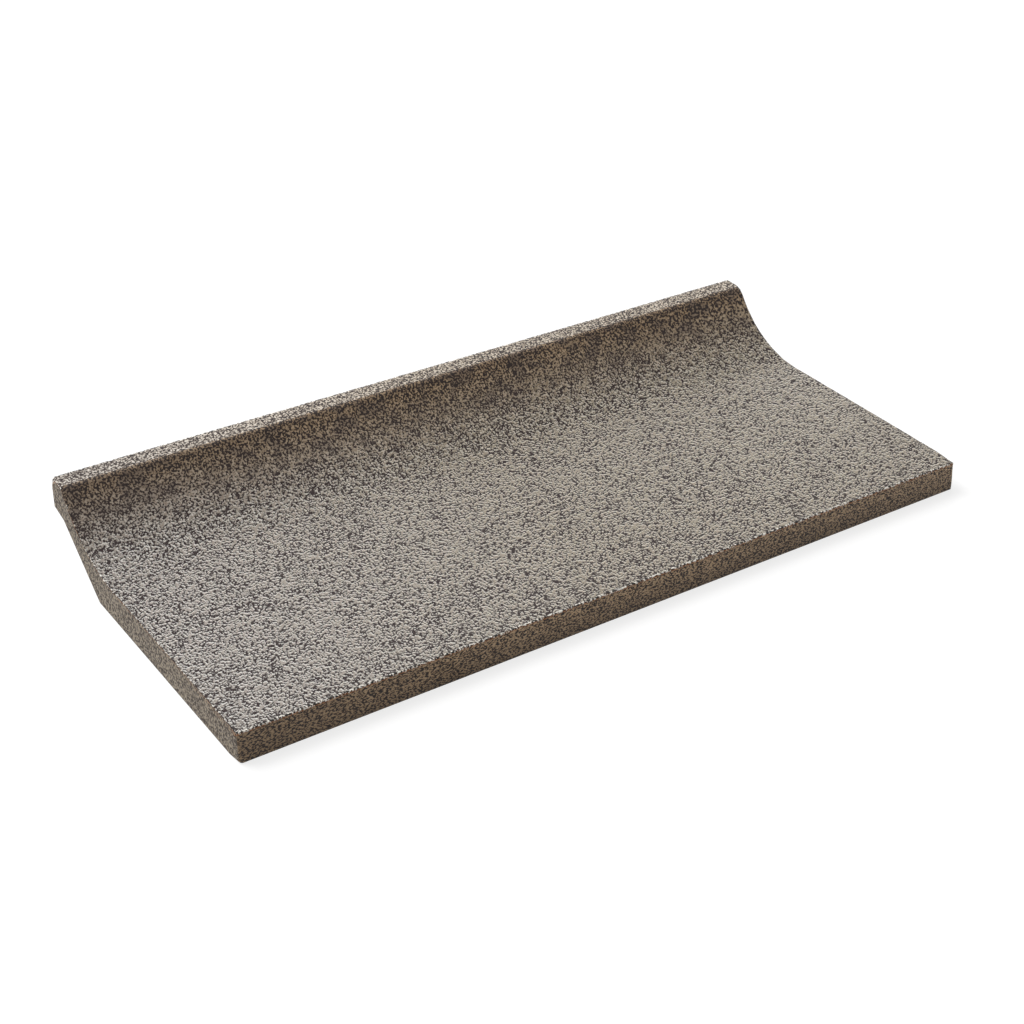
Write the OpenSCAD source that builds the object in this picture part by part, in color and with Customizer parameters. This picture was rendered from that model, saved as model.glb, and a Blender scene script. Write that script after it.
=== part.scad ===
// Cove tile: a flat slab of pressed stoneware whose long back edge sweeps up
// through a concave cove into a rounded lip.
// The tile lies on its bedding face. X runs along the tile, Y from the square
// front edge to the toe face behind the lip, and Z up.

/* [Slab] */
// Length of the tile
tile_length = 198; // [120:1:300]
// Depth over all, from the front edge to the toe face
tile_depth = 90; // [75:1:150]
// Thickness of the flat slab
slab_thickness = 8; // [6:0.1:12]

/* [Cove and lip] */
// Height of the lip's top over the bedding face
lip_height = 21.8; // [18:0.1:28]
// Radius of the concave cove
cove_radius = 28.8; // [20:0.1:40]
// Radius of the lip's rounded nose
nose_radius = 1.6; // [1:0.1:4]
// Width of the lip's top, from the end of the nose to the toe face
lip_top_width = 4.8; // [4:0.1:8]

/* [Underside] */
// Height of the upright toe face behind the lip
toe_face_height = 7.7; // [5:0.1:9]
// Rise of the ledge under the toe, from its inner corner to the toe face
ledge_rise = 1.2; // [0.5:0.1:2]
// Slope of the relieved underside behind the cove, in degrees
relief_angle = 37; // [30:1:45]
// Least wall between the cove and the relieved underside
cove_wall = 5.5; // [4:0.1:8]

/* [Edges] */
// Rounding of the edges around the face
edge_radius = 0.3; // [0.2:0.1:1.2]
// Rounding of the four upright corners
corner_radius = 0.5; // [0.3:0.1:3]

/* [Hidden] */
$fn = 128;
overcut = 1;  // how far a cutter reaches past the surface that it cuts
bite = 0.001;  // how deep the cove cuts where it would only touch the slab and the nose
overlap_angle = 1;  // how far the waste along the cove's end runs on into the nose's

// The section is drawn with its first axis along Y and its second along Z.
half_length = tile_length / 2;
cove_angle = acos(1 - (lip_height - slab_thickness) / (cove_radius + nose_radius));
nose_centre = [tile_depth - lip_top_width, lip_height - nose_radius];
cove_centre = [nose_centre[0] - (cove_radius + nose_radius) * sin(cove_angle),
               slab_thickness + cove_radius];
cove_start = [cove_centre[0], slab_thickness];
nose_end = [nose_centre[0], lip_height];

toe_foot = [tile_depth, lip_height - toe_face_height];
ledge_level = toe_foot[1] - ledge_rise;
ledge_corner = [relief_at(ledge_level), ledge_level];
relief_foot = [relief_at(0), 0];

// How far along Y the relieved underside is at a height: it clears the cove by cove_wall.
function relief_at(height) = cove_centre[0]
    + (cove_radius + cove_wall + cos(relief_angle) * (height - cove_centre[1]))
    / sin(relief_angle);

module disc(centre, radius) {
    translate(centre) circle(r = radius);
}

module section() {
    difference() {
        union() {
            polygon([[0, 0], relief_foot, ledge_corner, toe_foot,
                [tile_depth, lip_height - edge_radius],
                [tile_depth - edge_radius, lip_height],
                nose_end, nose_centre, cove_centre, cove_start,
                [edge_radius, slab_thickness],
                [0, slab_thickness - edge_radius]]);
            disc([edge_radius, slab_thickness - edge_radius], edge_radius);
            disc([tile_depth - edge_radius, lip_height - edge_radius], edge_radius);
            disc(nose_centre, nose_radius);
        }
        disc(cove_centre, cove_radius + bite);
    }
}

// What comes off a square edge at the origin to leave it rounded. The first
// axis points out of one of its two faces and the second out of the other.
module edge_waste(radius) {
    difference() {
        translate([-radius, -radius]) square(radius + overcut);
        disc([-radius, -radius], radius);
    }
}

// The waste along a level run of the face, between two places along Y.
module level_waste(from, to, height) {
    translate([to, height, half_length])
        rotate([0, -90, 0])
            linear_extrude(to - from)
                mirror([1, -1]) edge_waste(edge_radius);
}

// The waste along the end of the whole face: slab, cove, nose and lip top.
module end_waste() {
    level_waste(-overcut, cove_start[0], slab_thickness);
    translate(cove_centre)
        rotate([0, 0, -90])
            rotate_extrude(angle = cove_angle + overlap_angle)
                translate([cove_radius, half_length]) mirror([1, 0]) edge_waste(edge_radius);
    translate(nose_centre)
        rotate([0, 0, 90])
            rotate_extrude(angle = cove_angle)
                translate([nose_radius, half_length]) edge_waste(edge_radius);
    level_waste(nose_end[0], tile_depth + overcut, lip_height);
}

module cove_tile() {
    color("#8f877a")
        translate([0, -tile_depth / 2, 0])
            difference() {
                rotate([90, 0, 90])
                    difference() {
                        translate([0, 0, -half_length]) linear_extrude(tile_length) section();
                        end_waste();
                        mirror([0, 0, 1]) end_waste();
                    }
                for (side = [-1, 1], back = [0, 1])
                    translate([side * half_length, back * tile_depth, -overcut])
                        scale([side, 2 * back - 1, 1])
                            linear_extrude(lip_height + 2 * overcut) edge_waste(corner_radius);
            }
}

cove_tile();
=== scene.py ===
# Cove tile of unglazed speckled stoneware: the looks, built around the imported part.
# The tile lies on its bedding face, with X along it, Y towards the wall and Z up, in metres.
import math
from functools import partial

import bmesh
import bpy
from mathutils import Matrix, Vector


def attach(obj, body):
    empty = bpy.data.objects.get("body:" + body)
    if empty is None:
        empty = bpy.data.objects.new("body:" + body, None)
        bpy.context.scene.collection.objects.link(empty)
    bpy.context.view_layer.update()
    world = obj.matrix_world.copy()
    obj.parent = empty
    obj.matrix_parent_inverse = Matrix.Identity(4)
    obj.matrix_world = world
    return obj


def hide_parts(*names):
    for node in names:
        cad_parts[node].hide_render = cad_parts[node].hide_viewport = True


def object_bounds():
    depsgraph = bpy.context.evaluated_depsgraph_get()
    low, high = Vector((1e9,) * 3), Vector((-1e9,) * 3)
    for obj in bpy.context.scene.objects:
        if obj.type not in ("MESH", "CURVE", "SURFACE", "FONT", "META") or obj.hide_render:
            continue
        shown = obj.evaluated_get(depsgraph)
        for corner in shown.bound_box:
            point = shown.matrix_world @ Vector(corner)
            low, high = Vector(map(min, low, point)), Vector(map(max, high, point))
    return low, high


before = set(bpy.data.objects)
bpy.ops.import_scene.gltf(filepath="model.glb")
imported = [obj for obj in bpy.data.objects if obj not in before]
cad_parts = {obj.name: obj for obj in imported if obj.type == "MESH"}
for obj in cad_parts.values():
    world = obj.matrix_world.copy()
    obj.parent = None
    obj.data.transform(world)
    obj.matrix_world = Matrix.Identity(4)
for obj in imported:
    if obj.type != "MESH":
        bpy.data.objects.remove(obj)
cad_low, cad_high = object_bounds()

MM = 0.001

# Sizes of the tile's section, in millimetres. The overall ones come from the frame.
TILE_LENGTH = (cad_high.x - cad_low.x) / MM
TILE_DEPTH = (cad_high.y - cad_low.y) / MM
LIP_HEIGHT = cad_high.z / MM
SLAB_THICKNESS = 8.0
COVE_RADIUS = 28.8
NOSE_RADIUS = 1.6
LIP_TOP_WIDTH = 4.8
TOE_FACE_HEIGHT = 7.7
LEDGE_RISE = 1.2
RELIEF_ANGLE = math.radians(37)
COVE_WALL = 5.5

# Roundings of its edges.
EDGE = 0.3  # the crisp arrises around the face and up the corners
UNDER_EDGE = 0.2  # around the underside, which the die leaves nearly sharp
UNDER_TILT = -0.05  # the Z of a normal, below which it belongs to the underside or the relief slope
LEDGE_FILLET = 0.5
CORNER_EDGE = 1.1  # at the worn corners, where three arrises meet, and at the nose's right tip
CORNER_FADE = 2.5  # how far from such a corner its rounding has died away
LONG_FADE = 7.0  # the same for the right front corner, whose wear runs on down its upright
NOSE_FADE = 2.0  # and for the nose's right tip

# The mesh: its rings along the tile, and the steps in each rounding of the section.
RING_SPACING = 0.36
END_STEPS = 7  # the rings that round each end over
EDGE_STEPS = 6
UNDER_STEPS = 3
FILLET_STEPS = 4
NOSE_STEPS = 8
COVE_STEPS = 26
MERGE_DISTANCE = 0.002

# The spacing of the points on the straights between them, from the front edge on.
ARRIS_BAND = 0.9  # the finer mesh on both sides of a long arris, which its chips need
ARRIS_SPACING = 0.2
FRONT_SPACING = 0.6
SLAB_SPACING = 2.0
LIP_SPACING = 0.6
TOE_SPACING = 0.9
LEDGE_SPACING = 1.2
RELIEF_SPACING = 2.0
UNDER_SPACING = 4.0

# What the mesh tells the stoneware about each point: its skin, its slope and the wear of its arris, which
# also places painted highlights along it.
END_SKIN = 0.5  # the cut ends look half way between the face, 1, and the sides, 0
END_SKIN_TURN = 0.65  # the share of an end's rounding after which its own skin begins
NOSE_STEEPNESS = 0.6  # the nose counts as this steep all the way round, which gives it its full painted shade
ARRIS_CORE = 0.1  # how near to a long arris its wear and its painted highlights are full

# Wear in the shape: chips along the arrises, and the slow warp of the firing.
CHIP_DEPTH = 0.12
CHIP_LEVELS = (0.5, 0.68)  # where the chips' pattern begins to cut in, and where it is at its depth
WARP_DEPTH = 0.12
WARP_SIZE = 35.0
SEED = 7

# The stoneware's patterns, each at its real size in millimetres.
FACE_GRAIN = 0.35  # one dark grain and the gap beside it, on the pressed face
LOOSE_GRAIN = 0.48  # up the cove and on the lip
COARSE_GRAIN = 0.70  # up the cove near its right end
SIDE_GRAIN = 0.33
END_GRAIN = 0.62
CLUMP_SIZE = 4.0
CLOUD_SIZE = 18.0
MOTTLE_SIZE = 1.3
BREAK_SIZE = 0.5  # the chips, and the marks along a worn arris
GLINT_OFFSET = (0.23, 0.33)  # how far to the left and the front of a face grain its painted highlight lies
SIDE_DRAW = (0.6, 1.2, 1.1)  # below 1, the side grains are drawn out along that axis
SKEW = {"Axis": (0.3, 0.5, 0.8), "Angle": 0.9}  # how the patterns are turned off the tile's axes
PIECE_WOBBLE = 1.6  # how much finer the wobble in a face grain's border is than the grain
GRAIN_RELIEF = 0.15  # how deep the light finds the grains, by bump alone

# The levels at which the patterns are cut, each from where a look begins to where it is full.
PRESSED_SPREAD = 0.30  # these two bring the face's random values to the other patterns' range
PRESSED_BASE = 0.366
DARK_LEVELS = (0.548, 0.568)
# Painted highlights at the grains' rims: all round them, and offset to one side on the face.
GLINT_LEVELS = (0.50, 0.43)
OFFSET_GLINT_LEVELS = (0.55, 0.59)
OFFSET_GLINT_SHARE = 0.9

# What crowds the grains together: how much each adds to the pattern before it is cut.
CLUMP_CROWD = 0.05
CLOUD_CROWD = 0.04
# more dark grains up the cove, which also darken it as painted shade
COVE_SHADE_CROWD = 0.015
LIP_CROWD = 0.012

# Where each look comes in, and how strong it gets: by height, and by place along or across the tile.
LIP_HEIGHTS = (20.5 * MM, 21.5 * MM)
COARSE_PLACE = (50 * MM, 85 * MM)
OFF_LIP = (0.5, 0.0)  # the coarse grains stop short of the lip
COARSE_SHARE = 0.8
WARM_PLACE = (-90 * MM, 0.0)
# Painted shade on the sides towards the left end and at their foot, and a darker back.
SHADE_LEFT = (-40 * MM, -95 * MM)
SHADE_FOOT = (6 * MM, 0.0)
DARKER_BACK = (44.5 * MM, 44.9 * MM)
SIDE_DARKENING_SHARE = 0.4
END_BAND = (97.5 * MM, 98 * MM)
END_BREAKS = 0.08  # fewer painted highlights along the ends' own arrises

# The same by slope, from 0 where the face lies level to 1 where it is upright.
LOOSE_SLOPES = (0.15, 0.4)
CROWDED_SLOPES = (0.1, 0.45)
# Painted shade by slope: the brown up the cove, the dark round the nose and the dark clumps up the cove.
COVE_SHADE_SLOPES = (0.06, 0.42)
COVE_SHADE_SHARE = 0.85
LIP_BROWN = 0.3
CLUMP_SHADE_SLOPES = (0.06, 0.3)
CLUMP_SHADE_LEVELS = (0.5, 0.62)
CLUMP_SHADE_SHARE = 0.5
NOSE_SHADE_SLOPES = (0.45, 0.6)
NOSE_SHADE_SHARE = 0.35

# From the face, 0, over to the sides, 1.
OFF_FACE = (0.0, 0.4)
RUBBED_OFF_FACE = (0.2, 0.6)

# The marks along an arris, real wear and painted highlights, by how worn the arris is and by the pattern
# that breaks them up.
RUBBED_WEAR = (0.1, 0.5)
RUBBED_BREAKS = (0.40, 0.55)
LINE_NEAR_ARRIS = (0.4, 0.75)
ARRIS_GLINT_BREAKS = (0.47, 0.44)
DARK_BREAKS = (0.50, 0.53)

# How it takes the light.
BODY_ROUGHNESS = 0.40
GRAIN_ROUGHNESS = 0.7
STONEWARE_IOR = 1.5
STONEWARE_SPECULAR = 0.4

# The stage, in metres.
FLOOR_HALF = 3.0
FLOOR_DROP = 0.05 * MM  # keeps it clear of the underside
FLOOR_GLOW = 0.78  # only where it is seen
WORLD_SEEN = 1.0  # the surround, where it is seen
WORLD_LIGHT = 0.14  # and the light that it gives the tile

# The camera: a long lens that looks down on the tile from its near left.
CAMERA_AZIMUTH = math.radians(-34.53)
CAMERA_ELEVATION = math.radians(31.86)
CAMERA_ROLL = math.radians(1.03)
CAMERA_AIM = Vector((-0.00840, -0.00814, 0.010))
CAMERA_DISTANCE = 0.4517
CAMERA_LENS = 68.08
SENSOR_WIDTH = 36.0
CLIP_NEAR = 0.01
CLIP_FAR = 20.0


def add_node(tree, kind, inputs=(), **settings):
    """Adds a node with its settings.

    Its inputs come in order or by name. Each is a value, or a socket or node to link from, and a
    node gives its first output that is in use."""
    node = tree.nodes.new(kind)
    for name, value in settings.items():
        setattr(node, name, value)
    sockets = [socket for socket in node.inputs if socket.enabled]
    names = [socket.name for socket in sockets]
    keyed = inputs.items() if isinstance(inputs, dict) else enumerate(inputs)
    for key, value in keyed:
        socket = sockets[names.index(key) if isinstance(key, str) else key]
        if isinstance(value, bpy.types.Node):
            value = next(output for output in value.outputs if output.enabled)
        if isinstance(value, bpy.types.NodeSocket):
            tree.links.new(value, socket)
        else:
            socket.default_value = value
    return node


def linear(hex_colour):
    """An sRGB hex colour as linear RGBA."""
    channels = [int(hex_colour[i:i + 2], 16) / 255 for i in (1, 3, 5)]
    return [c / 12.92 if c <= 0.04045 else ((c + 0.055) / 1.055) ** 2.4 for c in channels] + [1.0]


def ease(value, start, end):
    """Goes smoothly from 0 at start to 1 at end."""
    t = min(max((value - start) / (end - start), 0.0), 1.0)
    return t * t * (3 - 2 * t)


# ---- the section: an outline in Y and Z, in millimetres from the tile's front edge ----

def straight(start, end, spacing):
    """Points along a line, without its two ends."""
    steps = max(1, round(math.dist(start, end) / spacing))
    return [[a + (b - a) * i / steps for a, b in zip(start, end)] for i in range(1, steps)]


def arc(centre, radius, from_angle, to_angle, steps):
    """Points along an arc, with its two ends."""
    angles = [from_angle + (to_angle - from_angle) * i / steps for i in range(steps + 1)]
    return [[centre[0] + radius * math.cos(a), centre[1] + radius * math.sin(a)] for a in angles]


def rounded(before, corner, after, radius, steps):
    """The arc that rounds a corner between its two neighbours."""
    corner, before, after = Vector(corner), Vector(before), Vector(after)
    towards, away = (before - corner).normalized(), (after - corner).normalized()
    half = towards.angle(away) / 2
    centre = corner + (towards + away).normalized() * radius / math.sin(half)
    first = corner + towards * radius / math.tan(half) - centre
    last = corner + away * radius / math.tan(half) - centre
    turn = math.atan2(first.x * last.y - first.y * last.x, first.dot(last))
    start = math.atan2(first.y, first.x)
    return arc(centre, radius, start, start + turn, steps)


def section_outline():
    """The outline from the front edge's foot, up and over the face and back along the underside.

    Returns its points and, for each, whether it is on the pressed face."""
    both_radii = COVE_RADIUS + NOSE_RADIUS
    cove_angle = math.acos(1 - (LIP_HEIGHT - SLAB_THICKNESS) / both_radii)
    nose = (TILE_DEPTH - LIP_TOP_WIDTH, LIP_HEIGHT - NOSE_RADIUS)
    cove = (nose[0] - both_radii * math.sin(cove_angle), SLAB_THICKNESS + COVE_RADIUS)

    def relief_at(height):
        """The relief slope, which keeps the cove's wall behind the cove, at a height."""
        reach = COVE_RADIUS + COVE_WALL + math.cos(RELIEF_ANGLE) * (height - cove[1])
        return (cove[0] + reach / math.sin(RELIEF_ANGLE), height)

    front_foot, front_top = (0, 0), (0, SLAB_THICKNESS)
    lip_front, back_top = (nose[0], LIP_HEIGHT), (TILE_DEPTH, LIP_HEIGHT)
    toe_foot = (TILE_DEPTH, LIP_HEIGHT - TOE_FACE_HEIGHT)
    ledge = relief_at(toe_foot[1] - LEDGE_RISE)
    foot = relief_at(0)

    down, up = -math.pi / 2, math.pi / 2
    cove_arc = arc(cove, COVE_RADIUS, down, down + cove_angle, COVE_STEPS)
    nose_arc = arc(nose, NOSE_RADIUS, up + cove_angle, up, NOSE_STEPS)
    front_edge = rounded(front_foot, front_top, (cove[0], SLAB_THICKNESS), EDGE, EDGE_STEPS)
    back_edge = rounded(lip_front, back_top, toe_foot, EDGE, EDGE_STEPS)
    half_edge = EDGE_STEPS // 2
    # Each run of points: whether it is on the face, the points, and the spacing on to the next run.
    # There is no spacing where the next run carries straight on.
    runs = [
        (0, rounded(foot, front_foot, front_top, UNDER_EDGE, UNDER_STEPS), FRONT_SPACING),
        (0, [(0, SLAB_THICKNESS - ARRIS_BAND)], ARRIS_SPACING),
        (0, front_edge[:half_edge], None),
        (1, front_edge[half_edge:], ARRIS_SPACING),
        (1, [(ARRIS_BAND, SLAB_THICKNESS)], SLAB_SPACING),
        (1, cove_arc, None),
        (1, nose_arc[1:], LIP_SPACING),
        (1, [(TILE_DEPTH - ARRIS_BAND, LIP_HEIGHT)], ARRIS_SPACING),
        (1, back_edge[:half_edge], None),
        (0, back_edge[half_edge:], ARRIS_SPACING),
        (0, [(TILE_DEPTH, LIP_HEIGHT - ARRIS_BAND)], TOE_SPACING),
        (0, rounded(back_top, toe_foot, ledge, UNDER_EDGE, UNDER_STEPS), LEDGE_SPACING),
        (0, rounded(toe_foot, ledge, foot, LEDGE_FILLET, FILLET_STEPS), RELIEF_SPACING),
        (0, rounded(ledge, foot, front_foot, LEDGE_FILLET, FILLET_STEPS), UNDER_SPACING),
    ]
    points, on_face = [], []
    for i, (face, run, spacing) in enumerate(runs):
        next_face, next_run, _ = runs[(i + 1) % len(runs)]
        gap = straight(run[-1], next_run[0], spacing) if spacing else []
        points += run + gap
        on_face += [face] * len(run) + [face * next_face] * len(gap)
    return points, on_face


def outward_normals(points):
    """Normals of an outline that runs with the solid on its right."""
    normals = []
    for i in range(len(points)):
        before, after = points[i - 1], points[(i + 1) % len(points)]
        step = Vector((after[0] - before[0], after[1] - before[1])).normalized()
        normals.append((-step.y, step.x))
    return normals


def end_rounding(point, normal, worn_places):
    """How one end of the tile rounds over at a point of the section.

    Returns how far the rounding reaches along X, and the way that the outline moves in Y and Z."""
    edge = UNDER_EDGE if normal[1] < UNDER_TILT else EDGE
    extra = CORNER_EDGE - edge
    move = Vector((-normal[0] * edge, -normal[1] * edge))
    most = 0.0
    for place, inwards, fade in worn_places:
        share = 1 - ease(math.dist(point, place), EDGE, fade)
        move += Vector(inwards) * extra * share
        most = max(most, share)
    return edge + extra * most, move


def steepness(point, normal):
    """0 where the face lies level, rising with its slope. The nose has one value all the way round."""
    if point[1] > LIP_HEIGHT - NOSE_RADIUS and point[0] < TILE_DEPTH - LIP_TOP_WIDTH:
        return NOSE_STEEPNESS
    return 1.0 - max(normal[1], 0.0)


def arris_share(point):
    """1 on the long arrises of the face, fading to 0 away from them."""
    arrises = ((0, SLAB_THICKNESS), (TILE_DEPTH, LIP_HEIGHT))
    near = min(math.dist(point, place) for place in arrises)
    return 1 - ease(near, ARRIS_CORE, ARRIS_BAND)


def section_object():
    """The outline as a loop of edges, with what the sweep needs to know at each point."""
    points, on_face = section_outline()
    normals = outward_normals(points)
    # The places worn rounder at each end: where, the way into the tile from there, and the fade.
    front_foot = ((0, 0), (1, 1), CORNER_FADE)
    left_top = ((0, SLAB_THICKNESS), (1, -1), CORNER_FADE)
    right_top = ((0, SLAB_THICKNESS), (1, -1), LONG_FADE)
    lip_back = ((TILE_DEPTH, LIP_HEIGHT), (-1, -1), CORNER_FADE)
    nose_tip = ((TILE_DEPTH - LIP_TOP_WIDTH - NOSE_RADIUS / 2, LIP_HEIGHT), (0.1, -0.5), NOSE_FADE)
    worn = {"left": (front_foot, left_top, lip_back), "right": (right_top, nose_tip)}

    mesh = bpy.data.meshes.new("tile_section")
    places = [(0, (y - TILE_DEPTH / 2) * MM, z * MM) for y, z in points]
    count = len(points)
    mesh.from_pydata(places, [(i, (i + 1) % count) for i in range(count)], [])
    for end, worn_places in worn.items():
        rounding = [end_rounding(point, normal, worn_places) for point, normal in zip(points, normals)]
        inset = mesh.attributes.new(end + "_inset", "FLOAT_VECTOR", "POINT")
        inset.data.foreach_set("vector", [v * MM for _, (y, z) in rounding for v in (0, y, z)])
        reach = mesh.attributes.new(end + "_reach", "FLOAT", "POINT")
        reach.data.foreach_set("value", [size * MM for size, _ in rounding])
    facts = {
        "on_face": [float(face) for face in on_face],
        "slope": [steepness(point, normal) for point, normal in zip(points, normals)],
        "arris": [arris_share(point) for point in points],
    }
    for name, values in facts.items():
        mesh.attributes.new(name, "FLOAT", "POINT").data.foreach_set("value", values)
    tile = bpy.data.objects.new("speckled_cove_tile", mesh)
    bpy.context.scene.collection.objects.link(tile)
    return tile


# ---- the sweep ----

def sweep_tree():
    """Sweeps the section along the tile, rounds its ends over, closes them and wears its edges."""
    tree = bpy.data.node_groups.new("cove_tile_sweep", "GeometryNodeTree")
    add = partial(add_node, tree)
    for name, kind in (
        ("Section", "Geometry"), ("Length", "Float"), ("Rings", "Int"), ("End steps", "Int"),
        ("Chip size", "Float"), ("Chip depth", "Float"), ("Warp depth", "Float"), ("Seed", "Int"),
        ("Body", "Material"),
    ):
        tree.interface.new_socket(name=name, in_out="INPUT", socket_type="NodeSocket" + kind)
    tree.interface.new_socket(name="Tile", in_out="OUTPUT", socket_type="NodeSocketGeometry")
    given = add("NodeGroupInput").outputs
    position = add("GeometryNodeInputPosition")

    # A grid with a row of points for each ring, and one column more than the section has points.
    section_points = add("GeometryNodeAttributeDomainSize", (given["Section"],), component="MESH")
    columns = add("ShaderNodeMath", (section_points, 1), operation="ADD")
    grid = add("GeometryNodeMeshGrid", {
        "Size X": 1.0, "Size Y": 1.0, "Vertices X": given["Rings"], "Vertices Y": columns})
    on_grid = add("ShaderNodeSeparateXYZ", (position,)).outputs
    last_ring = add("ShaderNodeMath", (given["Rings"], 1), operation="SUBTRACT")
    counts = []
    for axis, steps in (("X", last_ring), ("Y", section_points)):
        share = add("ShaderNodeMath", (on_grid[axis], 0.5), operation="ADD")
        count = add("ShaderNodeMath", (share, steps), operation="MULTIPLY")
        counts.append(add("ShaderNodeMath", (count,), operation="ROUND"))
    ring, column = counts
    index = add("ShaderNodeMath", (column, section_points), operation="MODULO")

    def from_section(name, kind="FLOAT"):
        """What the section holds under a name, at the point that each point of the grid stands for."""
        held = add("GeometryNodeInputNamedAttribute", (name,), data_type=kind)
        at_point = (given["Section"], held, index)
        return add("GeometryNodeSampleIndex", at_point, data_type=kind, domain="POINT")

    on_right = add("ShaderNodeMath", (on_grid["X"], 0.0), operation="GREATER_THAN")
    insets = [from_section(end + "_inset", "FLOAT_VECTOR") for end in ("left", "right")]
    inset = add("ShaderNodeMix", (on_right, *insets), data_type="VECTOR")
    reaches = [from_section(end + "_reach") for end in ("left", "right")]
    reach = add("ShaderNodeMix", (on_right, *reaches))

    # How far round its end each ring is: 0 along the tile, and 1 where it meets the end face.
    end_steps = given["End steps"]
    from_right = add("ShaderNodeMath", (last_ring, ring), operation="SUBTRACT")
    turns = []
    for rings_away in (ring, from_right):
        short_of_end = add("ShaderNodeMath", (rings_away, end_steps), operation="DIVIDE")
        turns.append(add("ShaderNodeMath", (1.0, short_of_end), operation="SUBTRACT"))
    turn = add("ShaderNodeMath", turns, operation="MAXIMUM")
    turn = add("ShaderNodeMath", (turn, 0.0), operation="MAXIMUM")
    angle = add("ShaderNodeMath", (turn, math.pi / 2), operation="MULTIPLY")

    # Where each point goes: along X evenly between the two roundings, and round them at the ends.
    last_straight = add("ShaderNodeMath", (last_ring, end_steps), operation="SUBTRACT")
    side = add("ShaderNodeMapRange", (ring, end_steps, last_straight, -1.0, 1.0))
    half = add("ShaderNodeMath", (given["Length"], 0.5), operation="MULTIPLY")
    straight_half = add("ShaderNodeMath", (half, reach), operation="SUBTRACT")
    sine = add("ShaderNodeMath", (angle,), operation="SINE")
    over = add("ShaderNodeMath", (reach, sine), operation="MULTIPLY")
    straight_part = add("ShaderNodeMath", (side, straight_half), operation="MULTIPLY")
    rounded_part = add("ShaderNodeMath", (side, over), operation="MULTIPLY")
    along = add("ShaderNodeMath", (straight_part, rounded_part), operation="ADD")
    cosine = add("ShaderNodeMath", (angle,), operation="COSINE")
    inwards = add("ShaderNodeMath", (1.0, cosine), operation="SUBTRACT")
    moved = add("ShaderNodeVectorMath", (inset, inwards), operation="SCALE")
    centre = from_section("position", "FLOAT_VECTOR")
    swept = add("ShaderNodeVectorMath", (centre, moved), operation="ADD")
    along = add("ShaderNodeCombineXYZ", {"X": along})
    swept = add("ShaderNodeVectorMath", (swept, along), operation="ADD")

    # An end's arris is half way round its rounding, and its skin begins a little further on.
    on_face = from_section("on_face")
    half_turn = add("ShaderNodeMath", (turn, math.pi), operation="MULTIPLY")
    end_arris = add("ShaderNodeMath", (half_turn,), operation="SINE")
    end_arris = add("ShaderNodeMath", (end_arris, on_face), operation="MULTIPLY")
    arris = add("ShaderNodeMath", (from_section("arris"), end_arris), operation="MAXIMUM")
    on_end = add("ShaderNodeMath", (turn, END_SKIN_TURN), operation="GREATER_THAN")
    skin = add("ShaderNodeMix", (on_end, on_face, END_SKIN))

    def store(geometry, values):
        """The geometry with a value for each of the names that the stoneware reads."""
        for name, value in values.items():
            geometry = add("GeometryNodeStoreNamedAttribute", {
                "Geometry": geometry, "Name": name, "Value": value}, data_type="FLOAT", domain="POINT")
        return geometry

    sleeve = store(grid, {"edge_wear": arris, "skin": skin, "steep": from_section("slope")})
    sleeve = add("GeometryNodeSetPosition", {"Geometry": sleeve, "Position": swept})
    sleeve = add("GeometryNodeSetShadeSmooth", {"Geometry": sleeve, "Shade Smooth": True})

    # The end faces: the section's last outline, filled flat and stood up at each end.
    parts = [sleeve]
    for sign, end in ((-1.0, "left"), (1.0, "right")):
        inset = add("GeometryNodeInputNamedAttribute", (end + "_inset",), data_type="FLOAT_VECTOR")
        last_outline = add("ShaderNodeVectorMath", (position, inset), operation="ADD")
        laid = add("ShaderNodeSeparateXYZ", (last_outline,)).outputs
        laid = add("ShaderNodeCombineXYZ", (laid["Y"], laid["Z"]))
        flat = add("GeometryNodeSetPosition", {"Geometry": given["Section"], "Position": laid})
        flat = add("GeometryNodeMeshToCurve", (flat,))
        flat = add("GeometryNodeFillCurve", (flat,), mode="NGONS")
        flat = store(flat, {"edge_wear": 0.0, "skin": END_SKIN, "steep": 0.0})
        stood = add("ShaderNodeSeparateXYZ", (position,)).outputs
        at_end = add("ShaderNodeMath", (half, sign), operation="MULTIPLY")
        stood = add("ShaderNodeCombineXYZ", (at_end, stood["X"], stood["Y"]))
        face = add("GeometryNodeSetPosition", {"Geometry": flat, "Position": stood})
        if sign < 0:
            face = add("GeometryNodeFlipFaces", (face,))
        parts.append(face)
    joined = add("GeometryNodeJoinGeometry")
    for part in parts:
        tree.links.new(part.outputs[0], joined.inputs[0])
    whole = add("GeometryNodeMergeByDistance", {"Geometry": joined, "Distance": MERGE_DISTANCE * MM})

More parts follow.
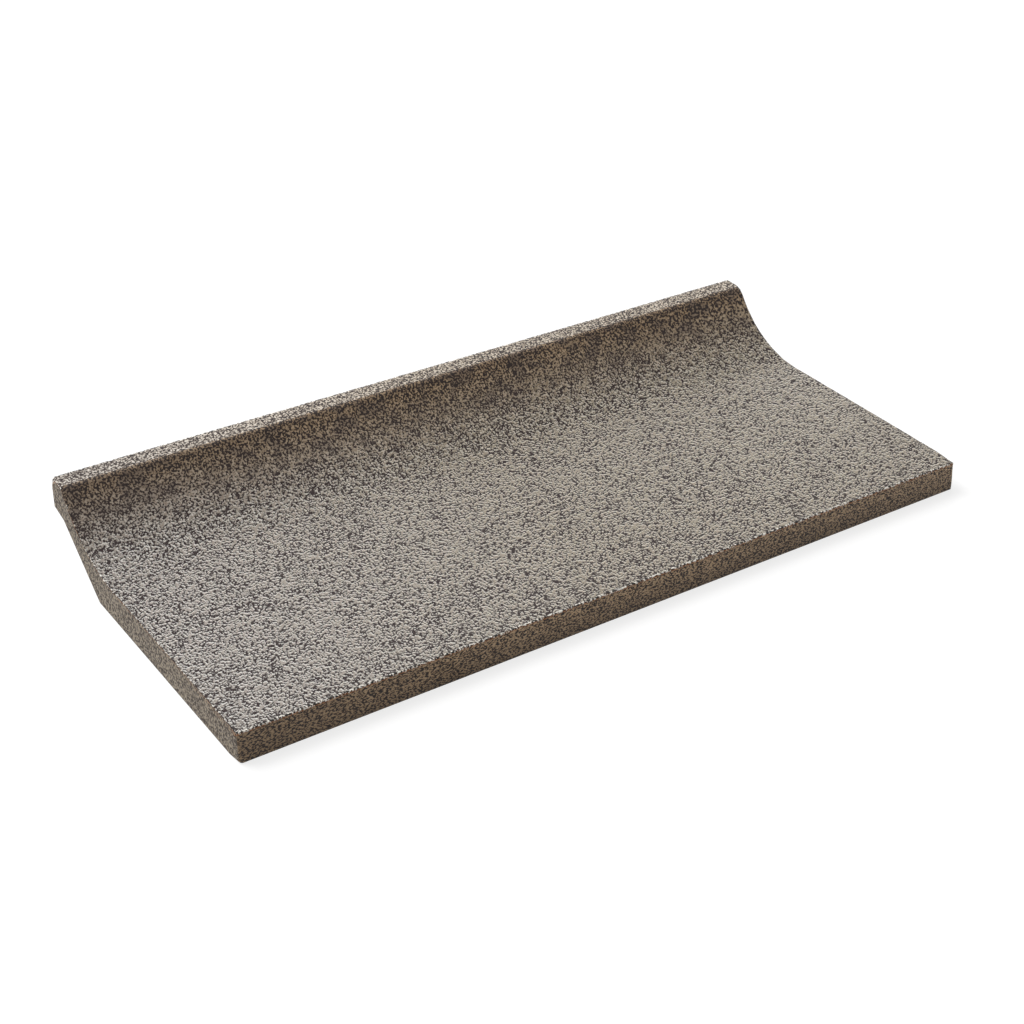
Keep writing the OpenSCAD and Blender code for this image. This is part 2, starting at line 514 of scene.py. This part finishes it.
    # Chips where a grain has come away from an edge, and the slow warp of the firing, both inwards.
    drift = add("ShaderNodeCombineXYZ", {"X": given["Seed"]})
    where = add("ShaderNodeVectorMath", (position, drift), operation="ADD")
    chip_scale = add("ShaderNodeMath", (1.0, given["Chip size"]), operation="DIVIDE")
    chip_noise = add("ShaderNodeTexNoise", {"Vector": where, "Scale": chip_scale, "Detail": 1.0})
    warp_noise = add("ShaderNodeTexNoise", {"Vector": where, "Scale": 1 / (WARP_SIZE * MM), "Detail": 1.0})
    chips = add("ShaderNodeMapRange", (chip_noise, *CHIP_LEVELS), interpolation_type="SMOOTHSTEP")
    depths = []
    for pattern, shown_by, depth in (
        (chips, "edge_wear", given["Chip depth"]), (warp_noise, "skin", given["Warp depth"]),
    ):
        share = add("GeometryNodeInputNamedAttribute", (shown_by,), data_type="FLOAT")
        shown = add("ShaderNodeMath", (pattern, share), operation="MULTIPLY")
        depths.append(add("ShaderNodeMath", (shown, depth), operation="MULTIPLY"))
    depth = add("ShaderNodeMath", depths, operation="ADD")
    depth = add("ShaderNodeMath", (depth, -1.0), operation="MULTIPLY")
    offset = add("ShaderNodeVectorMath", (add("GeometryNodeInputNormal"), depth), operation="SCALE")
    worn = add("GeometryNodeSetPosition", {"Geometry": whole, "Offset": offset})
    real = add("GeometryNodeRealizeInstances", (worn,))
    done = add("GeometryNodeSetMaterial", {"Geometry": real, "Material": given["Body"]})
    add("NodeGroupOutput", (done,))
    return tree


def make_tile(material):
    """The whole tile as one plain mesh: the sweep applied to the section, with its faces outwards."""
    tile = section_object()
    tree = sweep_tree()
    sweep = tile.modifiers.new("sweep", "NODES")
    sweep.node_group = tree
    values = {
        "Length": TILE_LENGTH * MM, "Rings": round(TILE_LENGTH / RING_SPACING) + 2 * END_STEPS,
        "End steps": END_STEPS, "Chip size": BREAK_SIZE * MM, "Chip depth": CHIP_DEPTH * MM,
        "Warp depth": WARP_DEPTH * MM, "Seed": SEED, "Body": material,
    }
    for item in tree.interface.items_tree:
        if item.in_out == "INPUT" and item.name in values:
            sweep[item.identifier] = values[item.name]
    graph = bpy.context.evaluated_depsgraph_get()
    mesh = bpy.data.meshes.new_from_object(tile.evaluated_get(graph))
    tile.modifiers.clear()
    tile.data = mesh
    shape = bmesh.new()
    shape.from_mesh(mesh)
    bmesh.ops.recalc_face_normals(shape, faces=shape.faces)
    shape.to_mesh(mesh)
    shape.free()
    return tile


# ---- the stoneware ----

def speckled_stoneware():
    """Stoneware, dry-pressed and fired unglazed.

    To the eye that is a fairly matt grey to tan body, crowded with fine dark mineral grains, each with
    a painted highlight at its rim, to one side on the pressed face. The cut sides are browner, and painted
    shade darkens the cove, the nose, and the sides towards the left end and at their foot."""
    material = bpy.data.materials.new("speckled_stoneware")
    material.use_nodes = True
    tree = material.node_tree
    tree.nodes.clear()
    add = partial(add_node, tree)

    # What part of the tile each point is on, from 0 to 1: the face or a side, its slope, an end, the lip.
    place = add("ShaderNodeTexCoord").outputs["Object"]
    spot = add("ShaderNodeSeparateXYZ", (place,)).outputs
    skin, near_arris, steep = (
        add("ShaderNodeAttribute", attribute_name=name).outputs["Fac"]
        for name in ("skin", "edge_wear", "steep"))
    side = add("ShaderNodeMath", (1.0, skin), operation="SUBTRACT")
    off_face = add("ShaderNodeMapRange", (side, *OFF_FACE))
    end = add("ShaderNodeMath", (skin, END_SKIN), operation="PINGPONG")
    end = add("ShaderNodeMath", (end, 1 / END_SKIN), operation="MULTIPLY")
    upper = add("ShaderNodeMath", (steep, skin), operation="MULTIPLY")
    lip = add("ShaderNodeMapRange", (spot["Z"], *LIP_HEIGHTS))

    # The patterns, on coordinates turned off the tile's axes, so that none lines up with a flat face.
    drawn = add("ShaderNodeVectorMath", (place, SIDE_DRAW), operation="MULTIPLY")
    turned, turned_drawn = (
        add("ShaderNodeVectorRotate", {"Vector": vector, **SKEW}, rotation_type="AXIS_ANGLE")
        for vector in (place, drawn))
    patterns = {}
    for name, size, vector, detail in (
        ("loose", LOOSE_GRAIN, turned, 1.0), ("coarse", COARSE_GRAIN, turned, 1.0),
        ("side", SIDE_GRAIN, turned_drawn, 1.0), ("end", END_GRAIN, turned_drawn, 1.0),
        ("clumps", CLUMP_SIZE, turned, 1.0), ("clouds", CLOUD_SIZE, turned, 1.0),
        ("mottle", MOTTLE_SIZE, turned, 2.0), ("breaks", BREAK_SIZE, turned, 1.0),
    ):
        patterns[name] = add("ShaderNodeTexNoise", {
            "Vector": vector, "Scale": 1 / (size * MM), "Detail": detail})

    def pressed(vector):
        """The pressed face's grains: cells with wobbly borders, each with a value of its own."""
        wobble = add("ShaderNodeTexNoise", {
            "Vector": vector, "Scale": PIECE_WOBBLE / (FACE_GRAIN * MM), "Detail": 0.0}).outputs["Color"]
        reach = (FACE_GRAIN * MM,) * 3
        moved = add("ShaderNodeVectorMath", (wobble, reach, vector), operation="MULTIPLY_ADD")
        moved = add("ShaderNodeVectorRotate", {"Vector": moved, **SKEW}, rotation_type="AXIS_ANGLE")
        cells = add("ShaderNodeTexVoronoi", {
            "Vector": moved, "Scale": 1 / (FACE_GRAIN * MM)}).outputs["Color"]
        return add("ShaderNodeMath", (cells, PRESSED_SPREAD, PRESSED_BASE), operation="MULTIPLY_ADD")

    # The grains: fine on the cut sides, and bigger up the cove and on the lip, where the pressing is
    # looser, most of all up the cove near its right end.
    looser = add("ShaderNodeMapRange", (steep, *LOOSE_SLOPES))
    loose = add("ShaderNodeMath", (looser, lip), operation="MAXIMUM")
    near_right = add("ShaderNodeMapRange", (spot["X"], *COARSE_PLACE))
    below_lip = add("ShaderNodeMapRange", (lip, *OFF_LIP, 0.0, COARSE_SHARE))
    coarse = add("ShaderNodeMath", (near_right, below_lip), operation="MULTIPLY")
    loose_grains = add("ShaderNodeMix", (coarse, patterns["loose"], patterns["coarse"]))
    on_face = add("ShaderNodeMix", (loose, pressed(place), loose_grains))
    on_side = add("ShaderNodeMix", (end, patterns["side"], patterns["end"]))
    grains = add("ShaderNodeMix", (off_face, on_face, on_side))

    # They crowd together in clumps and clouds, up the cove and on the lip. The extra grains up the cove
    # also darken it as painted shade.
    crowded_cove = add("ShaderNodeMapRange", (upper, *CROWDED_SLOPES))
    crowd = 0.0
    for share, amount in (
        (patterns["clouds"], CLOUD_CROWD), (patterns["clumps"], CLUMP_CROWD),
        (crowded_cove, COVE_SHADE_CROWD), (lip, LIP_CROWD),
    ):
        crowd = add("ShaderNodeMath", (share, amount, crowd), operation="MULTIPLY_ADD")
    crowded = add("ShaderNodeMath", (grains, crowd), operation="ADD")
    dark = add("ShaderNodeMapRange", (crowded, *DARK_LEVELS))

    # Each has a paler rim, a painted highlight that stands in for the glint of its relief. On the face it
    # lies offset to one side of the grain.
    glint_all_round = add("ShaderNodeMapRange", (crowded, *GLINT_LEVELS))
    glint_offset = (GLINT_OFFSET[0] * MM, GLINT_OFFSET[1] * MM, 0)
    offset_place = add("ShaderNodeVectorMath", (place, glint_offset), operation="ADD")
    offset_place = add("ShaderNodeMath", (pressed(offset_place), crowd), operation="ADD")
    glint_to_one_side = add("ShaderNodeMapRange", (offset_place, *OFFSET_GLINT_LEVELS, 0.0, OFFSET_GLINT_SHARE))
    glint_not_offset = add("ShaderNodeMath", (loose, off_face), operation="MAXIMUM")
    rim_glint = add("ShaderNodeMix", (glint_not_offset, glint_to_one_side, glint_all_round))

    def mottled(darker, lighter, at_glint):
        """The body between the grains: mottled with two colours, and with a third, a painted highlight, at
        their rims.
        """
        body = add("ShaderNodeMix", (patterns["mottle"], linear(darker), linear(lighter)), data_type="RGBA")
        return add("ShaderNodeMix", (rim_glint, body, linear(at_glint)), data_type="RGBA")

    # The firing left the face grey at the left end, turning tan by the middle.
    warm = add("ShaderNodeMapRange", (spot["X"], *WARM_PLACE))
    grey = mottled("#958C82", "#ADA59C", "#E4E2DC")
    tan = mottled("#897E6D", "#A09581", "#D6D0C2")
    face = add("ShaderNodeMix", (warm, grey, tan), data_type="RGBA")

    # The sides are browner, with painted shade towards the left end and at their foot, and darker along the
    # back.
    sides = mottled("#8E7354", "#B29370", "#CBAC86")
    shade_and_dark_back = 0.0
    for axis, reach in (("X", SHADE_LEFT), ("Z", SHADE_FOOT), ("Y", DARKER_BACK)):
        share = add("ShaderNodeMapRange", (spot[axis], *reach, 0.0, SIDE_DARKENING_SHARE))
        shade_and_dark_back = add("ShaderNodeMath", (shade_and_dark_back, share), operation="MAXIMUM")
    sides = add("ShaderNodeMix", (shade_and_dark_back, sides, linear("#54402C")), data_type="RGBA")

    # Their brown comes up the cove too, as painted shade that deepens with the slope, and a little on the
    # lip. Painted shade is deepest round the nose, and darker clumps up the cove add to it. The end faces
    # are duller all over.
    cove_shade = add("ShaderNodeMapRange", (steep, *COVE_SHADE_SLOPES, 0.0, COVE_SHADE_SHARE))
    brown_and_cove_shade = add("ShaderNodeMath", (side, cove_shade), operation="MAXIMUM")
    on_lip = add("ShaderNodeMath", (lip, LIP_BROWN), operation="MULTIPLY")
    brown_and_cove_shade = add("ShaderNodeMath", (brown_and_cove_shade, on_lip), operation="MAXIMUM")
    nose_shade = add("ShaderNodeMapRange", (upper, *NOSE_SHADE_SLOPES, 0.0, NOSE_SHADE_SHARE))
    shade_in_clumps = add("ShaderNodeMapRange", (patterns["clumps"], *CLUMP_SHADE_LEVELS, 0.0, CLUMP_SHADE_SHARE))
    clump_shade = add("ShaderNodeMapRange", (upper, *CLUMP_SHADE_SLOPES))
    clump_shade = add("ShaderNodeMath", (shade_in_clumps, clump_shade), operation="MULTIPLY")
    # On the end faces the painted highlights at the rims take the paler of two colours.
    end_body = add("ShaderNodeMix", (rim_glint, linear("#786954"), linear("#96856B")), data_type="RGBA")
    body = face
    for share, over in (
        (brown_and_cove_shade, sides), (nose_shade, linear("#54402F")), (clump_shade, linear("#63564F")), (end, end_body),
    ):
        body = add("ShaderNodeMix", (share, body, over), data_type="RGBA")
    grain = linear("#1C0806")
    for share, over in ((brown_and_cove_shade, linear("#231812")), (end, linear("#40352B"))):
        grain = add("ShaderNodeMix", (share, grain, over), data_type="RGBA")
    coloured = add("ShaderNodeMix", (dark, body, grain), data_type="RGBA")

    # A broken line along each arris: rust-brown where it is rubbed, dark where grains came away, and pale
    # painted highlights where the arris would catch the light.
    breaks = patterns["breaks"]
    worn_enough = add("ShaderNodeMapRange", (near_arris, *RUBBED_WEAR))
    rubbed = add("ShaderNodeMapRange", (breaks, *RUBBED_BREAKS))
    rubbed = add("ShaderNodeMath", (worn_enough, rubbed), operation="MULTIPLY")
    on_edge_of_side = add("ShaderNodeMapRange", (side, *RUBBED_OFF_FACE))
    rubbed = add("ShaderNodeMath", (rubbed, on_edge_of_side), operation="MULTIPLY")
    line = add("ShaderNodeMapRange", (near_arris, *LINE_NEAR_ARRIS))
    from_middle = add("ShaderNodeMath", (spot["X"],), operation="ABSOLUTE")
    fewer = add("ShaderNodeMapRange", (from_middle, *END_BAND, 0.0, END_BREAKS))
    arris_glint = add("ShaderNodeMath", (breaks, fewer), operation="ADD")
    arris_glint = add("ShaderNodeMapRange", (arris_glint, *ARRIS_GLINT_BREAKS))
    arris_glint = add("ShaderNodeMath", (line, arris_glint), operation="MULTIPLY")
    notches = add("ShaderNodeMapRange", (breaks, *DARK_BREAKS))
    notches = add("ShaderNodeMath", (line, notches), operation="MULTIPLY")
    for share, over in ((rubbed, "#BC7C4C"), (arris_glint, "#FFFAF0"), (notches, "#0A0605")):
        coloured = add("ShaderNodeMix", (share, coloured, linear(over)), data_type="RGBA")

    roughness = add("ShaderNodeMapRange", (dark, 0.0, 1.0, BODY_ROUGHNESS, GRAIN_ROUGHNESS))
    bump = add("ShaderNodeBump", {"Strength": 1.0, "Distance": GRAIN_RELIEF * MM, "Height": grains})
    shader = add("ShaderNodeBsdfPrincipled", {
        "Base Color": coloured, "Roughness": roughness, "IOR": STONEWARE_IOR,
        "Specular IOR Level": STONEWARE_SPECULAR, "Normal": bump})
    add("ShaderNodeOutputMaterial", {"Surface": shader})
    return material


# ---- the stage ----

def seen_directly(tree):
    """1 where a surface is seen, straight, mirrored or through glass, and 0 where it lights another."""
    rays = add_node(tree, "ShaderNodeLightPath").outputs
    seen = rays["Is Camera Ray"]
    for other in ("Is Glossy Ray", "Is Transmission Ray"):
        seen = add_node(tree, "ShaderNodeMath", (seen, rays[other]), operation="MAXIMUM")
    return seen


def make_floor():
    """A plain pale floor, which keeps the tile's shadow."""
    mesh = bpy.data.meshes.new("floor")
    signs = ((-1, -1), (1, -1), (1, 1), (-1, 1))
    corners = [(x * FLOOR_HALF, y * FLOOR_HALF, -FLOOR_DROP) for x, y in signs]
    mesh.from_pydata(corners, [], [(0, 1, 2, 3)])
    floor = bpy.data.objects.new("floor", mesh)
    bpy.context.scene.collection.objects.link(floor)
    material = bpy.data.materials.new("pale_paper_sweep")
    material.use_nodes = True
    tree = material.node_tree
    tree.nodes.clear()
    add = partial(add_node, tree)
    paper = add("ShaderNodeBsdfDiffuse", {"Color": linear("#E7E7E7")})
    shaded = add("ShaderNodeBsdfDiffuse", {"Color": linear("#959595")})
    glow = add("ShaderNodeEmission", {"Color": linear("#FFFFFF"), "Strength": FLOOR_GLOW})
    white = add("ShaderNodeAddShader", (shaded, glow))
    both = add("ShaderNodeMixShader", (seen_directly(tree), paper, white))
    add("ShaderNodeOutputMaterial", {"Surface": both})
    floor.data.materials.append(material)


def make_world():
    """Even, soft light from all around, with a white surround where it is seen or mirrored."""
    world = bpy.data.worlds.new("studio")
    bpy.context.scene.world = world
    world.use_nodes = True
    tree = world.node_tree
    tree.nodes.clear()
    strength = add_node(tree, "ShaderNodeMapRange", {
        "Value": seen_directly(tree), "To Min": WORLD_LIGHT, "To Max": WORLD_SEEN})
    light = add_node(tree, "ShaderNodeBackground", {"Color": linear("#FFFFFF"), "Strength": strength})
    add_node(tree, "ShaderNodeOutputWorld", {"Surface": light})


def add_softbox(name, direction, distance, size, power):
    """A square area lamp that faces the tile."""
    data = bpy.data.lights.new(name, "AREA")
    data.shape = "SQUARE"
    data.size = size
    data.energy = power
    lamp = bpy.data.objects.new(name, data)
    away = Vector(direction).normalized()
    facing = away.to_track_quat("Z", "Y").to_matrix().to_4x4()
    lamp.matrix_world = Matrix.Translation(away * distance) @ facing
    bpy.context.scene.collection.objects.link(lamp)


def make_camera():
    """The camera on a sphere round its aim, turned a little about its own line of sight."""
    sin_a, cos_a = math.sin(CAMERA_AZIMUTH), math.cos(CAMERA_AZIMUTH)
    sin_e, cos_e = math.sin(CAMERA_ELEVATION), math.cos(CAMERA_ELEVATION)
    back = Vector((sin_a * cos_e, -cos_a * cos_e, sin_e))
    level = Vector((cos_a, sin_a, 0))
    upright = back.cross(level)
    sin_r, cos_r = math.sin(CAMERA_ROLL), math.cos(CAMERA_ROLL)
    right = cos_r * level + sin_r * upright
    up = cos_r * upright - sin_r * level
    data = bpy.data.cameras.new("camera")
    data.lens = CAMERA_LENS
    data.sensor_width = SENSOR_WIDTH
    data.clip_start = CLIP_NEAR
    data.clip_end = CLIP_FAR
    camera = bpy.data.objects.new("camera", data)
    turn = Matrix((right, up, back)).transposed().to_4x4()
    camera.matrix_world = Matrix.Translation(CAMERA_AIM + back * CAMERA_DISTANCE) @ turn
    bpy.context.scene.collection.objects.link(camera)
    bpy.context.scene.camera = camera


make_camera()
tile = make_tile(speckled_stoneware())
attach(tile, "root")
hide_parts("cove_tile")
make_floor()
make_world()
add_softbox("overhead_softbox", direction=(-0.35, 0.39, 0.85), distance=2.2, size=1.3, power=46.0)
add_softbox("back_softbox", direction=(0.51, 0.75, 0.42), distance=1.6, size=1.0, power=5.5)
bpy.context.scene.view_settings.view_transform = "Standard"
